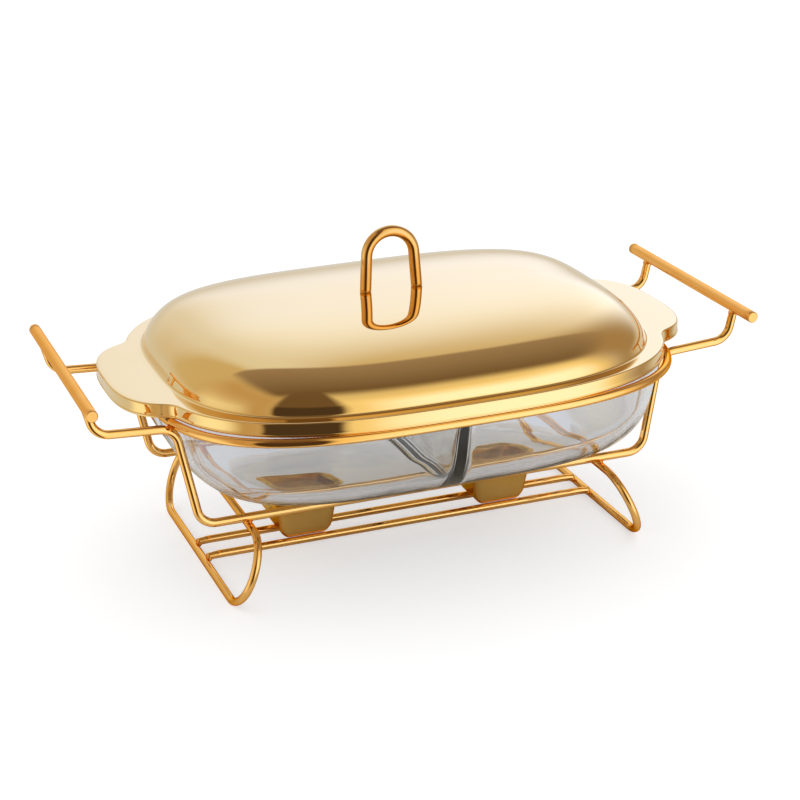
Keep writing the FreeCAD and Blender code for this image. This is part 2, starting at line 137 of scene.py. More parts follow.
shader = add_node(tree, "BsdfPrincipled", inputs={
    "Base Color": colour.outputs[2], "Specular Tint": linear("#FAD3A0"), "Metallic": 1.0,
    "Roughness": rough.outputs[0], "Normal": relief.outputs[0]})
add_node(tree, "OutputMaterial", inputs={"Surface": shader.outputs[0]})

for side, name in ((-1, "left"), (1, "right")):
    reach = np.array([-BAR_HALF_LENGTH, -BAR_HALF_LENGTH + 0.15, -BAR_HALF_LENGTH + BAR_CHAMFER])
    reach = np.concatenate((reach, np.linspace(reach[-1], -reach[-1], 24)[1:-1], -reach[::-1]))
    inset = np.clip(BAR_CHAMFER - (BAR_HALF_LENGTH - np.abs(reach)), 0, None)
    centres = np.zeros((len(reach), 3)) + (side * BAR_HALF_SPACING, 0, BAR_HEIGHT)
    centres[:, 1] = reach
    across, upward = np.zeros((2, len(reach), 3))
    across[:, 0] = 1
    upward[:, 2] = 1
    grid = tube(centres, across, upward, BAR_RADIUS - inset, 48)
    bar = surface(name + "_handle_rod", grid, start=centres[0], end=centres[-1], flat_caps=True)
    bar.data.materials.append(satin_bar_gold)
    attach(bar, "stand")
    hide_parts(name + "_handle_bar")


# Side wires. Each is one length of 6 mm drawn steel wire, bent cold: flat under the dish, up both
# ends, out over the shoulders that carry the rim ring, and up to the bars, where it is welded.

WIRE_RADIUS = 3.0
SIDE_WIRE_Y = 66.5
CRADLE_HALF_LENGTH = 162.373
CRADLE_HEIGHT = 54.75
SHOULDER_HALF_LENGTH = 175.873
SHOULDER_HEIGHT = 125.9
RISER_LEAN = 5.8
RISER_HEIGHT = 129.2
WIRE_BEND_RADIUS = 13.0
LONGEST_STEP = 6.0


def bent_line(corners, radii, closed=False, arc_steps=14):
    """Centreline of a bent wire. Each corner is rounded by the arc of its radius that touches both
    runs: it starts radius x tan(turn / 2) before the corner, and its points are
    start + radius (sin a run + (1 - cos a) inward)."""
    corners = np.array(corners, float)
    count = len(corners)
    pieces = []
    for k in range(count):
        if not closed and k in (0, count - 1):
            pieces.append(corners[k][None])
            continue
        run = corners[k] - corners[k - 1]
        following = corners[(k + 1) % count] - corners[k]
        run, following = run / np.linalg.norm(run), following / np.linalg.norm(following)
        turn = np.arccos(np.clip(run @ following, -1, 1))
        inward = following - (following @ run) * run
        inward /= np.linalg.norm(inward)
        start = corners[k] - run * radii[k] * np.tan(turn / 2)
        angle = np.linspace(0, turn, arc_steps + 1)[:, None]
        pieces.append(start + radii[k] * (np.sin(angle) * run + (1 - np.cos(angle)) * inward))
    return np.vstack(pieces)


def divided(points, longest, closed=False):
    """The same line with its long runs divided evenly, so that no step is over the longest."""
    after = np.vstack((points[1:], points[:1])) if closed else points[1:]
    before = points if closed else points[:-1]
    parts = np.ceil(np.linalg.norm(after - before, axis=1) / longest).astype(int)
    rows = np.repeat(np.arange(len(before)), parts)
    share = (np.arange(len(rows)) - np.repeat(np.cumsum(parts) - parts, parts)) / parts[rows]
    line = before[rows] + (after - before)[rows] * share[:, None]
    return line if closed else np.vstack((line, points[-1:]))


def wire(name, line, across, radius, closed=False, columns=32):
    """Round wire along a flat line. Across is the unit vector square to the line's plane, and the
    circle's other direction is across x tangent, the tangent being the mean of both steps."""
    if closed:
        ahead = np.roll(line, -1, axis=0) - line
        behind = line - np.roll(line, 1, axis=0)
    else:
        ahead = np.vstack((line[1:] - line[:-1], line[-1:] - line[-2:-1]))
        behind = np.vstack((line[1:2] - line[:1], line[1:] - line[:-1]))
    ahead, behind = (step / np.linalg.norm(step, axis=1)[:, None] for step in (ahead, behind))
    tangent = ahead + behind
    tangent /= np.linalg.norm(tangent, axis=1)[:, None]
    side = np.tile(np.array(across, float), (len(line), 1))
    grid = tube(line, side, np.cross(side, tangent), radius, columns)
    if closed:
        return surface(name, grid, closed_rows=True)
    return surface(name, grid, start=line[0], end=line[-1], flat_caps=True)


# Gold plating on drawn steel wire, tumbled bright. The eye gets hard highlight and shade lines that
# run along the wire and waver a little, because the drawn surface isn't quite round.
bright_wire_gold, tree = empty_material("gold_plated_drawn_wire")
place = add_node(tree, "TexCoord").outputs["Object"]
waver = add_node(tree, "TexNoise", inputs={"Vector": place, "Scale": 30.0, "Detail": 1.0})
cloud = add_node(tree, "TexNoise", inputs={"Vector": place, "Scale": 30.0})
grain = add_node(tree, "TexNoise", inputs={"Vector": place, "Scale": 1400.0, "Detail": 2.0})
colour = add_node(tree, "Mix", MIX_COLOURS, {0: cloud.outputs[0], 6: linear("#F9C172"), 7: linear("#FCCE84")})
rough = add_node(tree, "MapRange", inputs={"Value": grain.outputs[0], "To Min": 0.03, "To Max": 0.08})
relief = add_node(tree, "Bump", inputs={"Height": waver.outputs[0], "Strength": 0.2, "Distance": 0.0002})
shader = add_node(tree, "BsdfPrincipled", inputs={
    "Base Color": colour.outputs[2], "Specular Tint": linear("#EBAA58"), "Metallic": 1.0,
    "Roughness": rough.outputs[0], "Normal": relief.outputs[0]})
add_node(tree, "OutputMaterial", inputs={"Surface": shader.outputs[0]})

half = [(BAR_HALF_SPACING, BAR_HEIGHT), (BAR_HALF_SPACING - RISER_LEAN, RISER_HEIGHT),
        (SHOULDER_HALF_LENGTH, SHOULDER_HEIGHT), (CRADLE_HALF_LENGTH, CRADLE_HEIGHT)]
for name, y in (("front", -SIDE_WIRE_Y), ("back", SIDE_WIRE_Y)):
    corners = [(-x, y, z) for x, z in half] + [(x, y, z) for x, z in half[::-1]]
    line = divided(bent_line(corners, [WIRE_BEND_RADIUS] * 8), LONGEST_STEP)
    side_wire = wire(name + "_cradle_wire", line, (0, 1, 0), WIRE_RADIUS)
    side_wire.data.materials.append(bright_wire_gold)
    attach(side_wire, "stand")
    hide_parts(name + "_side_wire")


# Rim ring. An oval hoop of the same wire, butt welded and ground, that lies on the shoulders of the
# side wires and is welded to them there. The dish hangs in it by its rim.

RING_HALF_LENGTH = 182.2
RING_HALF_WIDTH = 143.6
RING_SQUARENESS = 3.29
RING_HEIGHT = 130.245


def oval_reach(angle, half_length, half_width, squareness):
    """Distance of a superellipse from its centre: (|cos a / length|^n + |sin a / width|^n)^(-1 / n)."""
    along = np.abs(np.cos(angle) / half_length) ** squareness
    across = np.abs(np.sin(angle) / half_width) ** squareness
    return (along + across) ** (-1 / squareness)


angle = np.linspace(0, 2 * np.pi, 360, endpoint=False)
reach = oval_reach(angle, RING_HALF_LENGTH, RING_HALF_WIDTH, RING_SQUARENESS)
line = np.stack((reach * np.cos(angle), reach * np.sin(angle), np.full_like(angle, RING_HEIGHT)), -1)
ring = wire("rim_hoop", line, (0, 0, 1), WIRE_RADIUS, closed=True)
ring.data.materials.append(bright_wire_gold)
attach(ring, "stand")
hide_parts("rim_ring")


# Foot loops. Closed loops of 5.5 mm wire that lean outwards: a straight base on the table, sides
# that bulge low down, and a straight top that is welded under the two side wires.

FOOT_WIRE_RADIUS = 2.75
FOOT_BASE_HALF_SPREAD = 148.273
FOOT_LEAN = 18.7
FOOT_RISE = 46.25
FOOT_BASE_HALF_WIDTH = 85.0
FOOT_BULGE_HALF_WIDTH = 102.3
FOOT_BULGE_HEIGHT = 12.0
FOOT_BEND_RADII = (24.0, 24.0, 25.0)

slope = np.hypot(FOOT_RISE, FOOT_LEAN)
half = [(FOOT_BASE_HALF_WIDTH, 0.0), (FOOT_BULGE_HALF_WIDTH, FOOT_BULGE_HEIGHT),
        (FOOT_BULGE_HALF_WIDTH, slope)]
for side, name in ((-1, "left"), (1, "right")):
    flat = half + [(-y, height) for y, height in half[::-1]]
    corners = [(side * (FOOT_BASE_HALF_SPREAD - FOOT_LEAN * height / slope), y,
                FOOT_WIRE_RADIUS + FOOT_RISE * height / slope) for y, height in flat]
    line = bent_line(corners, FOOT_BEND_RADII + FOOT_BEND_RADII[::-1], closed=True)
    line = divided(line, LONGEST_STEP, closed=True)
    across = (side * FOOT_RISE / slope, 0, FOOT_LEAN / slope)
    foot = wire(name + "_foot_hoop", line, across, FOOT_WIRE_RADIUS, closed=True)
    foot.data.materials.append(bright_wire_gold)
    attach(foot, "stand")
    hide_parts(name + "_foot_loop")


# Candle rails. Two straight wires between the bases of the foot loops. Their ends are pinched a
# little where the spot welder held them, and they butt against the base wires.

RAIL_Y = 13.35
RAIL_HEIGHT = 6.2
RAIL_END = 146.6
PINCH_START = 137.0
PINCH_LENGTH = 9.0
PINCH_DROP = 0.5
PINCH_SHARE = 0.1

# Steps along x are short over the pinched ends; the pinch follows the smooth step u^2 (3 - 2 u)
end = np.linspace(PINCH_START - 3, RAIL_END, 8)
x = np.concatenate((-end[::-1], np.linspace(-end[0], end[0], 40)[1:-1], end))
pinch = np.clip((np.abs(x) - PINCH_START) / PINCH_LENGTH, 0, 1)
pinch = pinch ** 2 * (3 - 2 * pinch)
for name, y in (("front", -RAIL_Y), ("back", RAIL_Y)):
    line = np.stack((x, np.full_like(x, y), RAIL_HEIGHT - PINCH_DROP * pinch), -1)
    rail = wire(name + "_cup_rail", line, (0, 1, 0), FOOT_WIRE_RADIUS * (1 - PINCH_SHARE * pinch))
    rail.data.materials.append(bright_wire_gold)
    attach(rail, "stand")
    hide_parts(name + "_candle_rail")


# Weld nuggets. At every joint of the stand the wires are resistance welded and then plated, which
# leaves a small smooth swelling in the groove between them.

# Where the wires of each kind of joint meet, and the nuggets' half sizes along x, y and z
RING_JOINT_X = 177.4
FOOT_JOINT_X = 129.6
FOOT_JOINT_HEIGHT = 51.7
RAIL_JOINT_X = FOOT_BASE_HALF_SPREAD - 3.0
RAIL_JOINT_HEIGHT = 4.4
BAR_NUGGET = (3.4, 3.6, 1.6)
RING_NUGGET = (3.0, 2.6, 1.5)
FOOT_NUGGET = (2.6, 3.0, 1.3)
RAIL_NUGGET = (2.3, 3.1, 2.2)

# Gold plating over a weld: same plating, but the steel under it froze with a rippled skin, so the
# eye gets a warmer, softer spot than the drawn wire beside it.
weld_gold, tree = empty_material("gold_plated_weld")
place = add_node(tree, "TexCoord").outputs["Object"]
ripple = add_node(tree, "TexNoise", inputs={"Vector": place, "Scale": 700.0, "Detail": 3.0})
colour = add_node(tree, "Mix", MIX_COLOURS, {
    0: ripple.outputs[0], 6: linear("#E9993F"), 7: linear("#F6B560")})
relief = add_node(tree, "Bump", inputs={"Height": ripple.outputs[0], "Strength": 0.7, "Distance": 0.0003})
shader = add_node(tree, "BsdfPrincipled", inputs={
    "Base Color": colour.outputs[2], "Specular Tint": linear("#EBAA58"), "Metallic": 1.0,
    "Roughness": 0.24, "Normal": relief.outputs[0]})
add_node(tree, "OutputMaterial", inputs={"Surface": shader.outputs[0]})


def joined(name, pieces):
    """Several pieces of one finish as one object, with their meshes left as they are."""
    meshes = [piece.data for piece in pieces]
    counts = np.cumsum([0] + [len(mesh.vertices) for mesh in meshes])
    points = [vertex.co[:] for mesh in meshes for vertex in mesh.vertices]
    faces = [[int(count) + i for i in face.vertices]
             for count, mesh in zip(counts, meshes) for face in mesh.polygons]
    smooth = [face.use_smooth for mesh in meshes for face in mesh.polygons]
    whole = bpy.data.meshes.new(name)
    whole.from_pydata(points, [], faces)
    whole.polygons.foreach_set("use_smooth", smooth)
    whole.update()
    for piece in pieces:
        bpy.data.objects.remove(piece)
    result = bpy.data.objects.new(name, whole)
    bpy.context.scene.collection.objects.link(result)
    return result


def nugget(name, centre, sizes):
    """Ellipsoid of the three half sizes: centre + (a cos u cos t, b cos u sin t, c sin u)."""
    rise = np.linspace(-np.pi / 2, np.pi / 2, 13)[1:-1, None]
    turn = np.linspace(0, 2 * np.pi, 20, endpoint=False)[None]
    level = np.cos(rise)
    unit = np.stack((level * np.cos(turn), level * np.sin(turn), np.sin(rise) + 0 * turn), -1)
    tip = np.array((0, 0, sizes[2]))
    return surface(name, centre + unit * sizes, start=centre - tip, end=centre + tip)


spots = []
for x_side in (-1, 1):
    for y_side in (-1, 1):
        y = y_side * SIDE_WIRE_Y
        spots.append(((x_side * (BAR_HALF_SPACING - 1.0), y, BAR_HEIGHT - BAR_RADIUS), BAR_NUGGET))
        spots.append(((x_side * RING_JOINT_X, y, RING_HEIGHT - 2.4), RING_NUGGET))
        spots.append(((x_side * FOOT_JOINT_X, y, FOOT_JOINT_HEIGHT), FOOT_NUGGET))
        spots.append(((x_side * RAIL_JOINT_X, y_side * RAIL_Y, RAIL_JOINT_HEIGHT), RAIL_NUGGET))
nuggets = [nugget("spot", np.array(centre), np.array(sizes)) for centre, sizes in spots]
welds = joined("weld_nuggets", nuggets)
welds.data.materials.append(weld_gold)
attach(welds, "stand")


# Candle cups. Each is one square of steel sheet pressed into a tapering cup with a rounded base and
# a rolled rim, plated all over. It is loose, and slides along the two rails under its base edge.

CUP_HALF_SPREAD = 74.0
CUP_BASE_HEIGHT = 8.589
CUP_HEIGHT = 27.0
CUP_TOP_HALF = 22.0
CUP_BASE_HALF = 18.0
CUP_CORNER = 5.5
CUP_BASE_ROUND = 8.5
CUP_RIM = 6.4
CUP_RIM_CORNER = 14.0
CUP_ROLL = 0.9
CUP_RIM_DROP = 1.1
CUP_LIP = 0.8
CUP_LIP_STEP = 0.2
CUP_WALL = 0.8


def square_loop(half, corner, height, straight=7, bend=10):
    """Square with rounded corners at a height: each side is straight, then a quarter circle of the
    corner radius about (half - corner, half - corner), turned by a quarter for each side."""
    half, corner = max(half, corner), min(half, corner)
    run = np.linspace(-1, 1, straight)[:, None] * (half - corner)
    side = np.hstack((np.full_like(run, half), run))
    angle = np.linspace(0, np.pi / 2, bend + 2)[1:-1, None]
    arc = (half - corner) + corner * np.hstack((np.cos(angle), np.sin(angle)))
    quarter = np.vstack((side, arc))
    loops = []
    for k in range(4):
        cosine, sine = np.cos(k * np.pi / 2), np.sin(k * np.pi / 2)
        loops.append(quarter @ np.array(((cosine, sine), (-sine, cosine))))
    flat = np.vstack(loops)
    return np.hstack((flat, np.full((len(flat), 1), height)))


def cup_wall(inset, low, high):
    """Half widths, corner radii and heights up one side of the cup's sheet, from its flat floor
    round the base edge, a quarter circle, and up the taper."""
    radius = CUP_BASE_ROUND - inset
    turn = np.linspace(0, np.pi / 2, 10)
    height = low + radius * (1 - np.cos(turn))
    taper = (CUP_TOP_HALF - CUP_BASE_HALF) / CUP_HEIGHT
    half = CUP_BASE_HALF - inset - radius * (1 - np.sin(turn)) + taper * (height - low)
    rise = np.linspace(height[-1], high, 9)[1:]
    tapered = np.interp(rise, (height[-1], high), (half[-1], CUP_TOP_HALF - inset))
    half = np.concatenate((half, tapered))
    height = np.concatenate((height, rise))
    corner = np.maximum(CUP_CORNER - inset - np.clip(CUP_BASE_HALF - inset - half, 0, None), 1.0)
    return half, corner, height


# Gold plating on pressed sheet, not buffed after the press. It gives a bronze-gold shine that is
# a little soft, wavy over the drawn corners, with fine rubbing marks.
pressed_cup_gold, tree = empty_material("gold_plated_pressed_cup")
place = add_node(tree, "TexCoord").outputs["Object"]
wave = add_node(tree, "TexNoise", inputs={"Vector": place, "Scale": 42.0, "Detail": 1.0})
rub = add_node(tree, "Mapping", inputs={"Vector": place, "Scale": (300, 300, 2200)})
marks = add_node(tree, "TexNoise", inputs={"Vector": rub.outputs[0], "Scale": 1.0, "Detail": 3.0})
colour = add_node(tree, "Mix", MIX_COLOURS, {0: wave.outputs[0], 6: linear("#E2B25E"), 7: linear("#F0CA80")})
rough = add_node(tree, "MapRange", inputs={"Value": marks.outputs[0], "To Min": 0.12, "To Max": 0.26})
relief = add_node(tree, "Bump", inputs={"Height": wave.outputs[0], "Strength": 0.7, "Distance": 0.0022})
shader = add_node(tree, "BsdfPrincipled", inputs={
    "Base Color": colour.outputs[2], "Specular Tint": linear("#EAB35C"), "Metallic": 1.0,
    "Roughness": rough.outputs[0], "Normal": relief.outputs[0]})
add_node(tree, "OutputMaterial", inputs={"Surface": shader.outputs[0]})

cup_top = CUP_BASE_HEIGHT + CUP_HEIGHT
half_in, corner_in, height_in = cup_wall(CUP_WALL, CUP_BASE_HEIGHT + CUP_WALL, cup_top - CUP_LIP)
half_out, corner_out, height_out = cup_wall(0.0, CUP_BASE_HEIGHT, cup_top - CUP_WALL - CUP_LIP)
profile = list(zip(half_in, corner_in, height_in))

# Over the lip by a quarter circle, then the rim: a rise of roll x sin(pi u) and a drop of u squared
a = np.linspace(0, np.pi / 2, 5)[1:]
lip = CUP_TOP_HALF - CUP_WALL + CUP_LIP * (1 - np.cos(a))
profile += list(zip(lip, np.full_like(a, CUP_CORNER - CUP_WALL), cup_top - CUP_LIP * (1 - np.sin(a))))
roll = np.linspace(0, 1, 9)
crest = cup_top + CUP_ROLL * np.sin(np.pi * roll) - CUP_RIM_DROP * roll ** 2
flange = CUP_TOP_HALF + CUP_LIP_STEP + (CUP_RIM - CUP_WALL / 2) * roll
bend = CUP_CORNER + (CUP_RIM_CORNER - CUP_CORNER) * roll
profile += list(zip(flange, bend, crest))
a = np.linspace(0, np.pi, 7)
edge = flange[-1] + CUP_WALL / 2 * np.sin(a)
profile += list(zip(edge, np.full_like(a, CUP_RIM_CORNER), crest[-1] - CUP_WALL / 2 * (1 - np.cos(a))))
profile += list(zip(flange, bend, crest - CUP_WALL))[::-1]
profile += list(zip(half_out, corner_out, height_out))[::-1]
rows = np.array([square_loop(half, corner, height) for half, corner, height in profile])
for side, name in ((-1, "left"), (1, "right")):
    shift = np.array((side * CUP_HALF_SPREAD, 0, 0))
    cup = surface(name + "_tea_light_cup", rows + shift,
                  start=shift + (0, 0, CUP_BASE_HEIGHT + CUP_WALL), end=shift + (0, 0, CUP_BASE_HEIGHT))
    cup.data.materials.append(pressed_cup_gold)
    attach(cup, name + "_cup")
    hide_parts(name + "_candle_cup")


# Glass dish. Clear soda-lime glass, pressed in one piece: a tapered oval bowl with a flat rim, a
# lobe at each end, and a wall across the middle that makes two compartments. It hangs in the ring.

RIM_UNDERSIDE = 133.545
RIM_TOP = 141.845
RIM_HALF_LENGTH = 180.9
RIM_HALF_WIDTH = 144.2
RIM_SQUARENESS = 2.96
LOBE_CENTRE = 152.6
LOBE_HALF_LENGTH = 52.6
LOBE_HALF_WIDTH = 67.6
LOBE_SQUARENESS = 2.87
NECK_BLEND = 5.4
NECK_HALF_LENGTH = 178.2
NECK_HALF_WIDTH = 139.6
NECK_HEIGHT = 127.045
DRAFT = np.radians(16.0)
BOWL_FLOOR = 65.545
BOWL_CORNER = 50.0
GLASS_WALL = 4.6
GLASS_FLOOR = 5.2
DIVIDER_TOP_HALF = 2.5
DIVIDER_BASE_HALF = 4.0
DIVIDER_DROP = 8.5
DIVIDER_FILLET = 4.0
DIVIDER_FOOT = 6.0
DIVIDER_TAPER_HEIGHT = 62.0
DIVIDER_DROP_RUN = 11.0
BOWL_TOP_SQUARENESS = 3.15
BOWL_FLOOR_SQUARENESS = 3.8
UNDER_ROUND = 2.0
RIM_ROUND = 2.6
EDGE_ROUND = 2.2
COMPARTMENT_X = 62.0


def outside_oval(x, y, half_length, half_width, squareness):
    """How far a point lies outside a superellipse, along the ray from its centre: |p| (1 - 1 / g),
    where g is (|x / length|^n + |y / width|^n)^(1 / n). It is below nought inside."""
    g = (np.abs(x / half_length) ** squareness + np.abs(y / half_width) ** squareness) ** (1 / squareness)
    return np.hypot(x, y) * (1 - 1 / np.maximum(g, 1e-9))


def outside_rim(x, y, grow):
    """How far a point lies outside the rim's outline, an oval with a lobe at each end, grown on all
    sides. The necks between them are filled by the rounded union r - |(r - a, r - b)|."""
    oval = outside_oval(x, y, RIM_HALF_LENGTH + grow, RIM_HALF_WIDTH + grow, RIM_SQUARENESS)
    lobe = outside_oval(np.abs(x) - LOBE_CENTRE, y,
                        LOBE_HALF_LENGTH + grow, LOBE_HALF_WIDTH + grow, LOBE_SQUARENESS)
    near_oval, near_lobe = np.clip(NECK_BLEND - oval, 0, None), np.clip(NECK_BLEND - lobe, 0, None)
    return np.maximum(NECK_BLEND, np.minimum(oval, lobe)) - np.hypot(near_oval, near_lobe)


def reach_of(outside, angle, centre_x=0.0, far=260.0):
    """Distance along each ray from (centre_x, 0) at which the outside function turns positive,
    found by halving the bracket forty times."""
    low, high = np.zeros_like(angle), np.full_like(angle, far)
    for _ in range(40):
        middle = (low + high) / 2
        inside = outside(centre_x + middle * np.cos(angle), middle * np.sin(angle)) < 0
        low, high = np.where(inside, middle, low), np.where(inside, high, middle)
    return low


def wall_step(z, inset, floor, corner):
    """How far the bowl has drawn in at a height: nothing down the neck, then the 16 degree draft,
    then the corner arc, centre step - sqrt(corner^2 - (z - centre height)^2)."""
    centre = floor + corner
    wall_end = centre - corner * np.sin(DRAFT)
    drafted = np.clip(NECK_HEIGHT - z, 0, NECK_HEIGHT - wall_end) * np.tan(DRAFT)
    arc_centre = (NECK_HEIGHT - wall_end) * np.tan(DRAFT) + corner * np.cos(DRAFT)
    arc = arc_centre - np.sqrt(np.clip(corner ** 2 - (z - centre) ** 2, 0, None))
    return inset + np.where(z < wall_end, arc, drafted)


def outside_bowl(x, y, z, inset, floor, corner):
    """How far a point lies outside the bowl's oval at its height; the oval squares up lower down."""
    step = wall_step(z, inset, floor, corner)
    depth = np.clip((NECK_HEIGHT - z) / (NECK_HEIGHT - floor), 0, 1)
    squareness = BOWL_TOP_SQUARENESS + (BOWL_FLOOR_SQUARENESS - BOWL_TOP_SQUARENESS) * depth
    return outside_oval(x, y, NECK_HALF_LENGTH - step, NECK_HALF_WIDTH - step, squareness)


inner_floor = BOWL_FLOOR + GLASS_FLOOR
inner_corner = BOWL_CORNER - GLASS_WALL


def outside_compartment(x, y, z):
    """How far a point lies outside the right compartment: the bowl's inner oval and the divider's
    face, met in a rounded corner by |(a + r, b + r)| - r."""
    oval = outside_bowl(x, y, z, GLASS_WALL, inner_floor, inner_corner)
    above = z - inner_floor
    taper = np.clip(1 - above / DIVIDER_TAPER_HEIGHT, 0, 1)
    spread = DIVIDER_TOP_HALF + (DIVIDER_BASE_HALF - DIVIDER_TOP_HALF) * taper
    below = np.clip(DIVIDER_FOOT - above, 0, None)
    foot = DIVIDER_FOOT - np.sqrt(np.clip(DIVIDER_FOOT ** 2 - below ** 2, 0, None))
    face = spread + foot - x
    both = np.hypot(np.clip(oval + DIVIDER_FILLET, 0, None), np.clip(face + DIVIDER_FILLET, 0, None))
    return np.minimum(np.maximum(oval, face), -DIVIDER_FILLET) + both


def rim_height(x, y):
    """Height of the glass's top: the rim is level, and the divider drops from it in a smooth step
    over the first 11 mm inside the bowl."""
    inside = -outside_bowl(x, y, RIM_TOP, GLASS_WALL, inner_floor, inner_corner)
    share = np.clip(inside / DIVIDER_DROP_RUN, 0, 1)
    return RIM_TOP - DIVIDER_DROP * share ** 2 * (3 - 2 * share)


def rim_reach(angle, grow):
    """Distance along each ray to the rim's outline, grown on all sides."""
    return reach_of(lambda x, y: outside_rim(x, y, grow), angle)


def loops(angle, reach, height, centre_x=0.0):
    """Points at a distance along each ray and at a height, for one row or for many."""
    reach, height = np.broadcast_arrays(reach, height)
    return np.stack((centre_x + reach * np.cos(angle), reach * np.sin(angle), height), -1)


# Outer skin, from the middle of the base out, up the wall and neck, under and round the rim
columns = 480
angle = (np.arange(columns) - columns / 4) * 2 * np.pi / columns
corner_turn = np.linspace(np.pi / 2, DRAFT, 22)
heights = BOWL_FLOOR + BOWL_CORNER * (1 - np.sin(corner_turn))
heights = np.concatenate((heights, np.linspace(heights[-1], NECK_HEIGHT, 10)[1:],
                          np.linspace(NECK_HEIGHT, RIM_UNDERSIDE - UNDER_ROUND, 4)[1:]))
wall_rows = [reach_of(lambda x, y: outside_bowl(x, y, z, 0.0, BOWL_FLOOR, BOWL_CORNER), angle)
             for z in heights]
skin = [loops(angle, wall_rows[0] * share, BOWL_FLOOR) for share in np.linspace(0.04, 0.96, 18)]
skin += [loops(angle, reach, z) for reach, z in zip(wall_rows, heights)]
for a in np.linspace(0, np.pi / 2, 6)[1:]:
    reach = wall_rows[-1] + UNDER_ROUND * (1 - np.cos(a))
    skin.append(loops(angle, reach, RIM_UNDERSIDE - UNDER_ROUND * (1 - np.sin(a))))
edge_low = rim_reach(angle, -UNDER_ROUND)
under = wall_rows[-1] + UNDER_ROUND
skin += [loops(angle, under + (edge_low - under) * share, RIM_UNDERSIDE)
         for share in np.linspace(0, 1, 6)[1:-1]]
for a in np.linspace(0, np.pi / 2, 7):
    reach = rim_reach(angle, -UNDER_ROUND * (1 - np.sin(a)))
    skin.append(loops(angle, reach, RIM_UNDERSIDE + UNDER_ROUND * (1 - np.cos(a))))
for a in np.linspace(0, np.pi / 2, 9):
    reach = rim_reach(angle, -RIM_ROUND * (1 - np.cos(a)))
    skin.append(loops(angle, reach, RIM_TOP - RIM_ROUND * (1 - np.sin(a))))
outline = skin[-1]
skin = surface("dish_skin", np.array(skin), start=(0, 0, BOWL_FLOOR))

# Right half of the inside, seen from the middle of its compartment: rim, rounded edge, wall, floor
half_outline = outline[:columns // 2 + 1]
# Points along the divider's top stand closer together towards its ends
span = np.linspace(1, -1, 122)[1:-1]
span = np.sign(span) * (1 - (1 - np.abs(span)) ** 1.25) * outline[columns // 2, 1]
ends = np.stack((np.zeros_like(span), span, rim_height(np.zeros_like(span), span)), -1)
border = np.vstack((half_outline, ends))
ray = np.arctan2(border[:, 1], border[:, 0] - COMPARTMENT_X)
border_reach = np.hypot(border[:, 0] - COMPARTMENT_X, border[:, 1])


def compartment_loop(level, height):
    """Reach round the compartment at a level outside its outline; the height is one for each ray."""
    return reach_of(lambda x, y: outside_compartment(x, y, height) - level, ray, COMPARTMENT_X)


def top_at(reach):
    """Height of the glass's top at a distance along each ray from the compartment's middle."""
    return rim_height(COMPARTMENT_X + reach * np.cos(ray), reach * np.sin(ray))


lip_height = top_at(compartment_loop(0.0, np.full_like(ray, RIM_TOP - EDGE_ROUND)))
brink = compartment_loop(EDGE_ROUND, lip_height)
rows = []
for share in np.linspace(0, 1, 6)[:-1]:
    reach = border_reach + (brink - border_reach) * share
    rows.append(loops(ray, reach, top_at(reach), COMPARTMENT_X))
for a in np.linspace(0, np.pi / 2, 8):
    reach = compartment_loop(EDGE_ROUND * (1 - np.sin(a)), lip_height)
    rows.append(loops(ray, reach, top_at(reach) - EDGE_ROUND * (1 - np.cos(a)), COMPARTMENT_X))
lip_height = rows[-1][:, 2]
corner_turn = np.linspace(DRAFT, np.pi / 2, 22)
arc_heights = inner_floor + inner_corner * (1 - np.sin(corner_turn))
levels = np.concatenate((np.linspace(RIM_TOP - EDGE_ROUND, arc_heights[0], 16)[1:-1], arc_heights))
for share in (levels - inner_floor) / (RIM_TOP - EDGE_ROUND - inner_floor):
    height = inner_floor + share * (lip_height - inner_floor)
    rows.append(loops(ray, compartment_loop(0.0, height), height, COMPARTMENT_X))
foot = np.hypot(rows[-1][:, 0] - COMPARTMENT_X, rows[-1][:, 1])
rows += [loops(ray, foot * share, inner_floor, COMPARTMENT_X)
         for share in np.linspace(1, 0, 14)[1:-1]]
halves = []
for side in (1, -1):
    grid = np.array(rows)[:, ::side] * (side, 1, 1)
    halves.append(surface("dish_half", grid, end=(side * COMPARTMENT_X, 0, inner_floor)))


# Clear soda-lime glass, pressed and fire polished. The eye gets a cool grey body with bright bent
# edges; the faint ripples of the press, about 30 mm apart, make what lies behind it swim a little.
pressed_glass, tree = empty_material("clear_pressed_soda_lime_glass")
place = add_node(tree, "TexCoord").outputs["Object"]
swim = add_node(tree, "TexNoise", inputs={"Vector": place, "Scale": 34.0, "Detail": 1.0})
relief = add_node(tree, "Bump", inputs={"Height": swim.outputs[0], "Strength": 0.35, "Distance": 0.0006})
shader = add_node(tree, "BsdfPrincipled", inputs={
    "Base Color": linear("#F4F6F6"), "Roughness": 0.0, "IOR": 1.52, "Transmission Weight": 1.0,
    "Normal": relief.outputs[0]})
add_node(tree, "OutputMaterial", inputs={"Surface": shader.outputs[0]})

dish = joined("pressed_glass_dish", [skin] + halves)
shell = bmesh.new()
shell.from_mesh(dish.data)
bmesh.ops.remove_doubles(shell, verts=shell.verts, dist=0.00002)
bmesh.ops.recalc_face_normals(shell, faces=shell.faces)
shell.to_mesh(dish.data)
shell.free()
dish.data.materials.append(pressed_glass)
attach(dish, "dish")
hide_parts("glass_dish")


# Lid. One sheet of 0.8 mm steel, deep drawn: a crowned dome, a flat flange that follows the dish's
# rim and lobes, and a turned-down skirt with a hemmed edge. Buffed to a mirror, then gold plated.

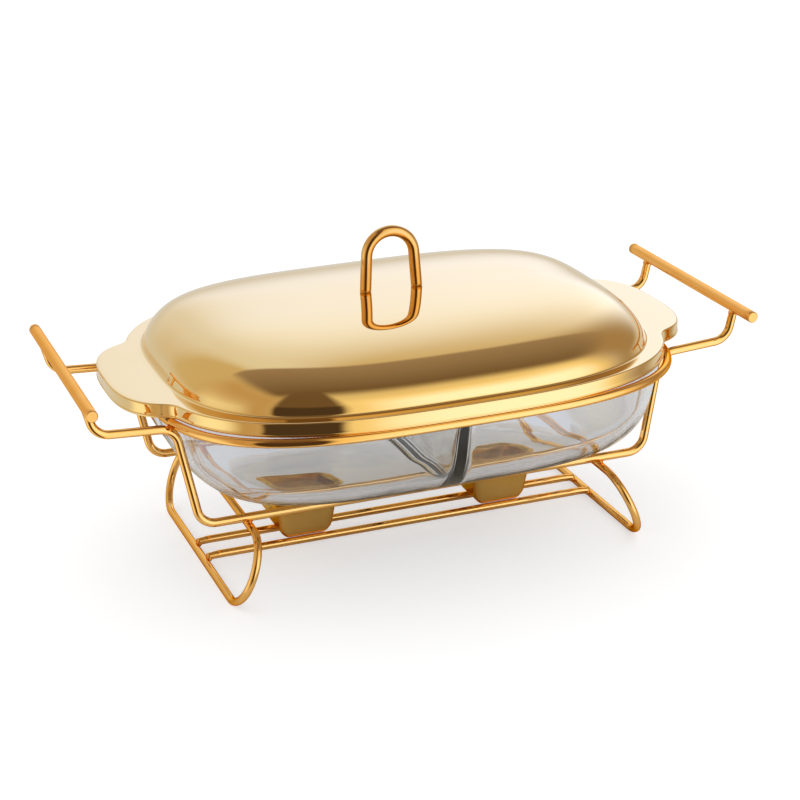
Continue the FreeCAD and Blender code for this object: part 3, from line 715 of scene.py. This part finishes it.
LID_WALL = 0.8
FLANGE_TOP = 142.945
SKIRT_LOW = 133.3
SKIRT_GROW = 1.4
DOME_HALF_LENGTH = 164.6
END_FLARE = 5.0
DOME_HALF_WIDTH = 135.9
DOME_HEIGHT = 34.9
COVE_RADIUS = 2.2
FOOT_TILT = np.radians(22.0)
LID_EDGE_RADIUS = 1.2
HEM = 0.35
HEM_TOP = 1.9
HEM_HEIGHT = 1.3
SKIRT_EDGE_ROUND = 0.5
INNER_ROUND = 0.6
TOP_SHARE = 0.42
FOOT_SHARE = 0.9936


def dome_rise(share):
    """Height of the dome above the flange at a share of its half width: nine tenths of it is the
    shoulder curve (1 - s^3.3)^(1 / 1.88), and one tenth the crown 1 - s^2."""
    shoulder = np.clip(1 - share ** 3.3, 0, None) ** (1 / 1.88)
    return DOME_HEIGHT * (0.9 * shoulder + 0.1 * (1 - share ** 2))


def dome_oval(share, inset):
    """Half length, half width and squareness of the dome's level curve at a share: a s^0.37 with a
    flare at the foot, 5 s^12, then b s, then from 4.8 at the top to 3 at the base."""
    half_length = (DOME_HALF_LENGTH - inset) * share ** 0.37 + END_FLARE * share ** 12
    return half_length, (DOME_HALF_WIDTH - inset) * share, 4.8 - 1.8 * share


def dome_share(x, y, inset):
    """The share whose level curve passes through each point, found by halving."""
    low, high = np.full_like(x, 1e-4), np.ones_like(x)
    for _ in range(40):
        share = (low + high) / 2
        half_length, half_width, n = dome_oval(share, inset)
        beyond = np.abs(x / half_length) ** n + np.abs(y / half_width) ** n > 1
        low, high = np.where(beyond, share, low), np.where(beyond, high, share)
    return low


def dome_rows(angle, inset):
    """Rows of the dome from its middle to its foot: inside the top share's curve they are that curve
    scaled, at the height of the curve through each point, and outside it they are level curves."""
    rows = []
    base = FLANGE_TOP - inset
    top = oval_reach(angle, *dome_oval(TOP_SHARE, inset))
    for reach in np.linspace(0, 1, 27)[1:-1, None] * top:
        share = dome_share(reach * np.cos(angle), reach * np.sin(angle), inset)
        rows.append(loops(angle, reach, base + dome_rise(share)))
    for share in np.sin(np.linspace(np.arcsin(TOP_SHARE), np.arcsin(FOOT_SHARE), 46)):
        rows.append(loops(angle, oval_reach(angle, *dome_oval(share, inset)), base + dome_rise(share)))
    return rows


columns = 448
angle = np.linspace(0, 2 * np.pi, columns, endpoint=False)


def rim_loop(grow, height):
    """Row that follows the rim's outline, grown on all sides."""
    return loops(angle, rim_reach(angle, grow), height)


def dome_foot(inset, cove, last_row):
    """Rows from the dome's last level curve down a straight wall that leans by the foot's tilt, and
    round the cove, centre + cove (-cos a, 1 - sin a), from the lean to level on the flange."""
    reach = np.hypot(last_row[:, 0], last_row[:, 1])
    base = FLANGE_TOP - inset
    height = last_row[0, 2] - base
    low = cove * (1 - np.sin(FOOT_TILT))
    wall = reach + (height - low) * np.tan(FOOT_TILT)
    rows = [loops(angle, reach + (wall - reach) * share, base + height + (low - height) * share)
            for share in (0.25, 0.5, 0.75)]
    for a in np.linspace(FOOT_TILT, np.pi / 2, 8):
        reach = wall + cove * (np.cos(FOOT_TILT) - np.cos(a))
        rows.append(loops(angle, reach, base + cove * (1 - np.sin(a))))
    return rows


# Outer face: dome, cove, flange, rounded edge, skirt and hem
rows = dome_rows(angle, 0.0)
rows += dome_foot(0.0, COVE_RADIUS, rows[-1])
inner_edge = np.hypot(rows[-1][:, 0], rows[-1][:, 1])
flange_edge = rim_reach(angle, SKIRT_GROW - LID_EDGE_RADIUS)
rows += [loops(angle, inner_edge + (flange_edge - inner_edge) * share, FLANGE_TOP)
         for share in np.linspace(0, 1, 9)[1:-1]]
for a in np.linspace(0, np.pi / 2, 8):
    rows.append(rim_loop(SKIRT_GROW - LID_EDGE_RADIUS * (1 - np.sin(a)),
                         FLANGE_TOP - LID_EDGE_RADIUS * (1 - np.cos(a))))
hem_top = SKIRT_LOW + HEM_TOP
rows += [rim_loop(SKIRT_GROW, z) for z in np.linspace(FLANGE_TOP - LID_EDGE_RADIUS, hem_top, 5)[1:]]
for a in np.linspace(0, np.pi, 11)[1:]:
    rows.append(rim_loop(SKIRT_GROW + HEM * np.sin(a), hem_top - HEM_HEIGHT * a / np.pi))

# Inner face: round the skirt's edge, up inside it, under the flange and into the dome
for a in np.linspace(0, np.pi, 9):
    rows.append(rim_loop(SKIRT_GROW - LID_WALL / 2 * (1 - np.cos(a)),
                         SKIRT_LOW + SKIRT_EDGE_ROUND * (1 - np.sin(a))))
inside = FLANGE_TOP - LID_WALL
rows += [rim_loop(SKIRT_GROW - LID_WALL, z) for z in np.linspace(SKIRT_LOW + 1.2, inside - INNER_ROUND, 5)]
for a in np.linspace(0, np.pi / 2, 5)[1:]:
    rows.append(rim_loop(SKIRT_GROW - LID_WALL - INNER_ROUND * (1 - np.cos(a)),
                         inside - INNER_ROUND * (1 - np.sin(a))))
inner_dome = dome_rows(angle, LID_WALL)
inner_foot = dome_foot(LID_WALL, COVE_RADIUS + LID_WALL, inner_dome[-1])
inner_edge = np.hypot(inner_foot[-1][:, 0], inner_foot[-1][:, 1])
flange_edge = np.hypot(rows[-1][:, 0], rows[-1][:, 1])
rows += [loops(angle, flange_edge + (inner_edge - flange_edge) * share, inside)
         for share in np.linspace(0, 1, 7)[1:-1]]
rows += inner_foot[::-1] + inner_dome[::-1]
crown = FLANGE_TOP + DOME_HEIGHT
lid = surface("domed_lid", np.array(rows), start=(0, 0, crown), end=(0, 0, crown - LID_WALL))

# Gold plating on deep-drawn, mirror-buffed steel sheet. The eye gets a pale champagne-gold mirror
# whose reflections bend very slightly with the draw, and a faint haze of buffing marks.
mirror_lid_gold, tree = empty_material("gold_plated_mirror_sheet")
place = add_node(tree, "TexCoord").outputs["Object"]
draw = add_node(tree, "TexNoise", inputs={"Vector": place, "Scale": 14.0, "Detail": 1.0})
buff = add_node(tree, "Mapping", inputs={"Vector": place, "Scale": (60, 1500, 1500)})
haze = add_node(tree, "TexNoise", inputs={"Vector": buff.outputs[0], "Scale": 1.0, "Detail": 4.0})
cloud = add_node(tree, "TexNoise", inputs={"Vector": place, "Scale": 9.0})
colour = add_node(tree, "Mix", MIX_COLOURS, {0: cloud.outputs[0], 6: linear("#F2D191"), 7: linear("#F6D79A")})
rough = add_node(tree, "MapRange", inputs={"Value": haze.outputs[0], "To Min": 0.01, "To Max": 0.03})
relief = add_node(tree, "Bump", inputs={"Height": draw.outputs[0], "Strength": 0.3, "Distance": 0.0008})
shader = add_node(tree, "BsdfPrincipled", inputs={
    "Base Color": colour.outputs[2], "Metallic": 1.0,
    "Roughness": rough.outputs[0], "Normal": relief.outputs[0]})
add_node(tree, "OutputMaterial", inputs={"Surface": shader.outputs[0]})
lid.data.materials.append(mirror_lid_gold)
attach(lid, "lid")
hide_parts("lid_shell")


# Lid handle. An 8 mm rod bent to an arch whose legs splay a little, with its feet cut flat on the
# dome. Each foot is tapped for a screw from inside the lid. Polished and plated darker than the lid.

DOME_TOP = 177.674
ARCH_ROD_RADIUS = 4.0
ARCH_HEIGHT = 46.2
ARCH_RADIUS = 17.4
FOOT_HALF_SPACING = 18.9

arch_centre = DOME_TOP + ARCH_HEIGHT - ARCH_ROD_RADIUS - ARCH_RADIUS
splay = np.arctan((FOOT_HALF_SPACING - ARCH_RADIUS) / (arch_centre - DOME_TOP))
turn = np.linspace(np.pi - splay, splay, 49)
arc = np.stack((ARCH_RADIUS * np.cos(turn), 0 * turn, arch_centre + ARCH_RADIUS * np.sin(turn)), -1)
drop = np.linspace(DOME_TOP, arc[0, 2], 9)[:-1]
leg = np.stack((arc[0, 0] - (arc[0, 2] - drop) * np.tan(splay), 0 * drop, drop), -1)
line = np.vstack((leg, arc, leg[::-1] * (-1, 1, 1)))
arch = wire("lid_arch_handle", line, (0, 1, 0), ARCH_ROD_RADIUS, columns=48)

# Gold plating on a bent and polished rod, deeper in colour than the lid. Reflections run along the
# rod in hard light and dark lines, slightly soft over the bend where the rod was worked.
arch_gold, tree = empty_material("gold_plated_polished_rod")
place = add_node(tree, "TexCoord").outputs["Object"]
waver = add_node(tree, "TexNoise", inputs={"Vector": place, "Scale": 110.0, "Detail": 1.0})
grain = add_node(tree, "TexNoise", inputs={"Vector": place, "Scale": 1200.0, "Detail": 2.0})
colour = add_node(tree, "Mix", MIX_COLOURS, {0: waver.outputs[0], 6: linear("#E4B26A"), 7: linear("#ECBD78")})
rough = add_node(tree, "MapRange", inputs={"Value": grain.outputs[0], "To Min": 0.06, "To Max": 0.13})
relief = add_node(tree, "Bump", inputs={"Height": waver.outputs[0], "Strength": 0.15, "Distance": 0.0001})
shader = add_node(tree, "BsdfPrincipled", inputs={
    "Base Color": colour.outputs[2], "Metallic": 1.0,
    "Roughness": rough.outputs[0], "Normal": relief.outputs[0]})
add_node(tree, "OutputMaterial", inputs={"Surface": shader.outputs[0]})
arch.data.materials.append(arch_gold)
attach(arch, "lid")
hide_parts("lid_handle")


# Handle screws and washers. Slotted cheese-head screws of zinc-plated steel, one up into each foot
# of the handle from inside the lid, with a plain washer under each head.

# Zinc plating on turned steel: a bluish grey that is bright but not a mirror, with the rings of the
# lathe on the faces.
zinc_steel, tree = empty_material("zinc_plated_turned_steel")
place = add_node(tree, "TexCoord").outputs["Object"]
grain = add_node(tree, "TexNoise", inputs={"Vector": place, "Scale": 900.0, "Detail": 3.0})
colour = add_node(tree, "Mix", MIX_COLOURS, {0: grain.outputs[0], 6: linear("#B9BEC4"), 7: linear("#D2D5D8")})
rough = add_node(tree, "MapRange", inputs={"Value": grain.outputs[0], "To Min": 0.2, "To Max": 0.38})
relief = add_node(tree, "Bump", inputs={"Height": grain.outputs[0], "Strength": 0.4, "Distance": 0.0001})
shader = add_node(tree, "BsdfPrincipled", inputs={
    "Base Color": colour.outputs[2], "Metallic": 1.0,
    "Roughness": rough.outputs[0], "Normal": relief.outputs[0]})
add_node(tree, "OutputMaterial", inputs={"Surface": shader.outputs[0]})
for name in ("left_handle_screw", "right_handle_screw", "left_handle_washer", "right_handle_washer"):
    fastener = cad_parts[name]
    fastener.data.materials.clear()
    fastener.data.materials.append(zinc_steel)


# Studio. A plain white table with a soft lamp behind it. What the gold mirrors is the room: a pale
# back wall, white panels left, right and in front, a brown ceiling and the dark about the camera.

TABLE_HALF = 6.0
NEAR_TABLE = 0.2
FAR_TABLE = 0.27
LAMP_SIZE = (1.2, 0.9)
LAMP_RADIANCE = 0.5
LAMP_PLACE = Vector((0.2, 0.9, 1.6))
LAMP_AIM = Vector((0.0, 0.0, 0.1))
SMOOTH_STEP = {"interpolation_type": "SMOOTHSTEP"}

# Matt white table. The lens sees it white with a faint shadow, and through the glass it is the grey
# of a studio floor. The gold mirrors its near part warm, and looks past the rest to the room.
white_table, tree = empty_material("matt_white_table")
path = add_node(tree, "LightPath")
place = add_node(tree, "TexCoord").outputs["Object"]
paper = add_node(tree, "TexNoise", inputs={"Vector": place, "Scale": 6.0})
white = add_node(tree, "Mix", MIX_COLOURS, {0: paper.outputs[0], 6: linear("#BEBEBE"), 7: linear("#C2C2C2")})
lit = add_node(tree, "BsdfDiffuse", inputs={"Color": white.outputs[2]})
lift = add_node(tree, "Emission", inputs={"Color": linear("#FFFFFF"), "Strength": 0.58})
seen = add_node(tree, "AddShader", inputs={0: lit.outputs[0], 1: lift.outputs[0]})
dim = add_node(tree, "BsdfDiffuse", inputs={"Color": linear("#B3B0AF")})
haze = add_node(tree, "Emission", inputs={"Color": linear("#99989A")})
through = add_node(tree, "AddShader", inputs={0: dim.outputs[0], 1: haze.outputs[0]})
warm = add_node(tree, "BsdfDiffuse", inputs={"Color": linear("#F6EFDD")})
past = add_node(tree, "BsdfTransparent")
radius = add_node(tree, "VectorMath", {"operation": "LENGTH"}, {0: place})
far = add_node(tree, "MapRange", SMOOTH_STEP, {0: radius.outputs["Value"], 1: NEAR_TABLE, 2: FAR_TABLE})
mirrored = add_node(tree, "MixShader", inputs={0: far.outputs[0], 1: warm.outputs[0], 2: past.outputs[0]})
gold = add_node(tree, "MixShader", inputs={
    0: path.outputs["Is Glossy Ray"], 1: lit.outputs[0], 2: mirrored.outputs[0]})
glass = add_node(tree, "MixShader", inputs={
    0: path.outputs["Is Transmission Ray"], 1: gold.outputs[0], 2: through.outputs[0]})
table = add_node(tree, "MixShader", inputs={
    0: path.outputs["Is Camera Ray"], 1: glass.outputs[0], 2: seen.outputs[0]})
add_node(tree, "OutputMaterial", inputs={"Surface": table.outputs[0]})

table_top = bpy.data.meshes.new("table_top")
corners = [(x * TABLE_HALF, y * TABLE_HALF, 0) for x, y in ((-1, -1), (1, -1), (1, 1), (-1, 1))]
table_top.from_pydata(corners, [], [(0, 1, 2, 3)])
table_top.materials.append(white_table)
table = bpy.data.objects.new("table_top", table_top)
bpy.context.scene.collection.objects.link(table)

# The room is white for the lens and for soft light, painted in mirrors, and greyer through glass
world = bpy.data.worlds.new("studio_walls")
world.use_nodes = True
tree = world.node_tree
tree.nodes.clear()
path = add_node(tree, "LightPath")
direction = add_node(tree, "TexCoord").outputs["Generated"]
parts = add_node(tree, "SeparateXYZ", inputs={0: direction})
height = parts.outputs["Z"]
level = add_node(tree, "VectorMath", {"operation": "MULTIPLY"}, {0: direction, 1: (1.0, 1.0, 0.0)})
bearing = add_node(tree, "VectorMath", {"operation": "NORMALIZE"}, {0: level.outputs[0]})


def wall(behind, heading, half, soft, top, fade, light):
    """Lays a wall's light over what is behind it. The wall is centred on a heading, in degrees from
    the back wall towards the right: the direction's level part, at unit length, times that heading
    is compared with cos(half + soft) and cos(half - soft), and its height with top +- fade."""
    turn = np.radians(heading)
    outer, inner = np.cos(np.radians((half + soft, max(half - soft, 0)))).tolist()
    near = add_node(tree, "VectorMath", {"operation": "DOT_PRODUCT"}, {
        0: bearing.outputs[0], 1: (float(np.sin(turn)), float(np.cos(turn)), 0.0)})
    across = add_node(tree, "MapRange", SMOOTH_STEP, {0: near.outputs["Value"], 1: outer, 2: inner})
    below = add_node(tree, "MapRange", SMOOTH_STEP, {
        0: height, 1: top + fade, 2: top - fade, 3: 0.0, 4: 1.0})
    mask = add_node(tree, "Math", {"operation": "MULTIPLY"}, {0: across.outputs[0], 1: below.outputs[0]})
    laid = add_node(tree, "Mix", MIX_COLOURS, {0: mask.outputs[0], 6: behind, 7: (*light, 1.0)})
    return laid.outputs[2]


walls = (0.66, 0.56, 0.37, 1.0)
# Back wall, then the tall softbox on its right
walls = wall(walls, 2, half=8, soft=22, top=1.05, fade=0.08, light=(0.82, 0.85, 0.92))
walls = wall(walls, 58, half=34, soft=30, top=0.64, fade=0.28, light=(1.2, 1.4, 2.0))
# Front left: the side wall and a white reflector that stands before it
walls = wall(walls, -98, half=37, soft=14, top=0.93, fade=0.17, light=(0.58, 0.42, 0.23))
walls = wall(walls, -86, half=18, soft=17, top=0.31, fade=0.5, light=(1.13, 1.12, 0.93))
# Front right: the side wall and a softbox
walls = wall(walls, 151, half=38, soft=24, top=0.84, fade=0.21, light=(1.07, 0.92, 0.55))
walls = wall(walls, 147, half=18, soft=13, top=0.6, fade=0.2, light=(1.3, 1.38, 1.5))
# Right: a dark stand
walls = wall(walls, 80, half=20, soft=20, top=0.97, fade=0.05, light=(0.41, 0.3, 0.18))
# Foot of the back wall, where it curves into the floor
walls = wall(walls, 5, half=75, soft=15, top=0.13, fade=0.12, light=(0.72, 0.72, 0.7))
# Dark wall over the camera, then the camera and its black cloth
walls = wall(walls, -156, half=21, soft=4, top=1.5, fade=0.1, light=(0.17, 0.11, 0.06))
walls = wall(walls, -156, half=20, soft=2, top=0.55, fade=0.06, light=(0.075, 0.05, 0.03))

# The ceiling lies between y = 0.5 z at the back, a crisp edge, and the soft edges y = -0.4 z in front
# and x = -0.45 z on the left, in parts of a direction
behind = add_node(tree, "Math", {"operation": "MULTIPLY_ADD"}, {0: height, 1: -0.5, 2: parts.outputs["Y"]})
ahead = add_node(tree, "Math", {"operation": "MULTIPLY_ADD"}, {0: height, 1: 0.4, 2: parts.outputs["Y"]})
left = add_node(tree, "Math", {"operation": "MULTIPLY_ADD"}, {0: height, 1: 0.45, 2: parts.outputs["X"]})
ceiling = add_node(tree, "MapRange", SMOOTH_STEP, {0: height, 1: 0.62, 2: 0.82})
for edge, outside, inside in ((behind, 0.03, -0.03), (ahead, -0.12, 0.22), (left, -0.12, 0.12)):
    share = add_node(tree, "MapRange", SMOOTH_STEP, {
        0: edge.outputs[0], 1: outside, 2: inside, 3: 0.0, 4: 1.0})
    ceiling = add_node(tree, "Math", {"operation": "MULTIPLY"}, {0: ceiling.outputs[0], 1: share.outputs[0]})
deep = add_node(tree, "MapRange", inputs={0: behind.outputs[0], 1: 0.0, 2: -0.7})
brown = add_node(tree, "Mix", MIX_COLOURS, {
    0: deep.outputs[0], 6: (0.36, 0.28, 0.22, 1.0), 7: (0.18, 0.12, 0.07, 1.0)})
room = add_node(tree, "Mix", MIX_COLOURS, {0: ceiling.outputs[0], 6: walls, 7: brown.outputs[2]})
gold = add_node(tree, "Mix", MIX_COLOURS, {
    0: path.outputs["Is Glossy Ray"], 6: linear("#FFFFFF"), 7: room.outputs[2]})
paper = add_node(tree, "Mix", MIX_COLOURS, {0: 0.55, 6: room.outputs[2], 7: (0.54, 0.55, 0.6, 1.0)})
glass = add_node(tree, "Mix", MIX_COLOURS, {
    0: path.outputs["Is Transmission Ray"], 6: gold.outputs[2], 7: paper.outputs[2]})
glow = add_node(tree, "Background", inputs={"Color": glass.outputs[2], "Strength": 1.0})
add_node(tree, "OutputWorld", inputs={"Surface": glow.outputs[0]})
bpy.context.scene.world = world

# Soft lamp. Its power is pi x area x radiance, and no mirror shows it
lamp = bpy.data.lights.new("soft_lamp", "AREA")
lamp.shape = "RECTANGLE"
lamp.size, lamp.size_y = LAMP_SIZE
lamp.energy = np.pi * LAMP_SIZE[0] * LAMP_SIZE[1] * LAMP_RADIANCE
light = bpy.data.objects.new("soft_lamp", lamp)
light.location = LAMP_PLACE
light.rotation_euler = (LAMP_AIM - LAMP_PLACE).to_track_quat("-Z", "Y").to_euler()
light.visible_glossy = False
bpy.context.scene.collection.objects.link(light)


# Camera. A long lens from the front and a little left, looking down by 21 degrees.

AZIMUTH, ELEVATION, ROLL = np.radians((-19.94, 20.83, -1.485))
TARGET = Vector((0.004379, 0.0, 0.094466))
DISTANCE = 1.457894
FOCAL_LENGTH = 92.23

back = Vector((np.sin(AZIMUTH) * np.cos(ELEVATION), -np.cos(AZIMUTH) * np.cos(ELEVATION), np.sin(ELEVATION)))
right = (-back).cross(Vector((0, 0, 1))).normalized()
up = right.cross(-back)
turned_right = right * np.cos(ROLL) + up * np.sin(ROLL)
turned_up = up * np.cos(ROLL) - right * np.sin(ROLL)
lens = bpy.data.cameras.new("camera")
lens.sensor_width = 36.0
lens.lens = FOCAL_LENGTH
camera = bpy.data.objects.new("camera", lens)
turned = Matrix((turned_right, turned_up, back)).transposed().to_4x4()
camera.matrix_world = Matrix.Translation(TARGET + back * DISTANCE) @ turned
bpy.context.scene.collection.objects.link(camera)
bpy.context.scene.camera = camera
bpy.context.scene.view_settings.view_transform = "Standard"
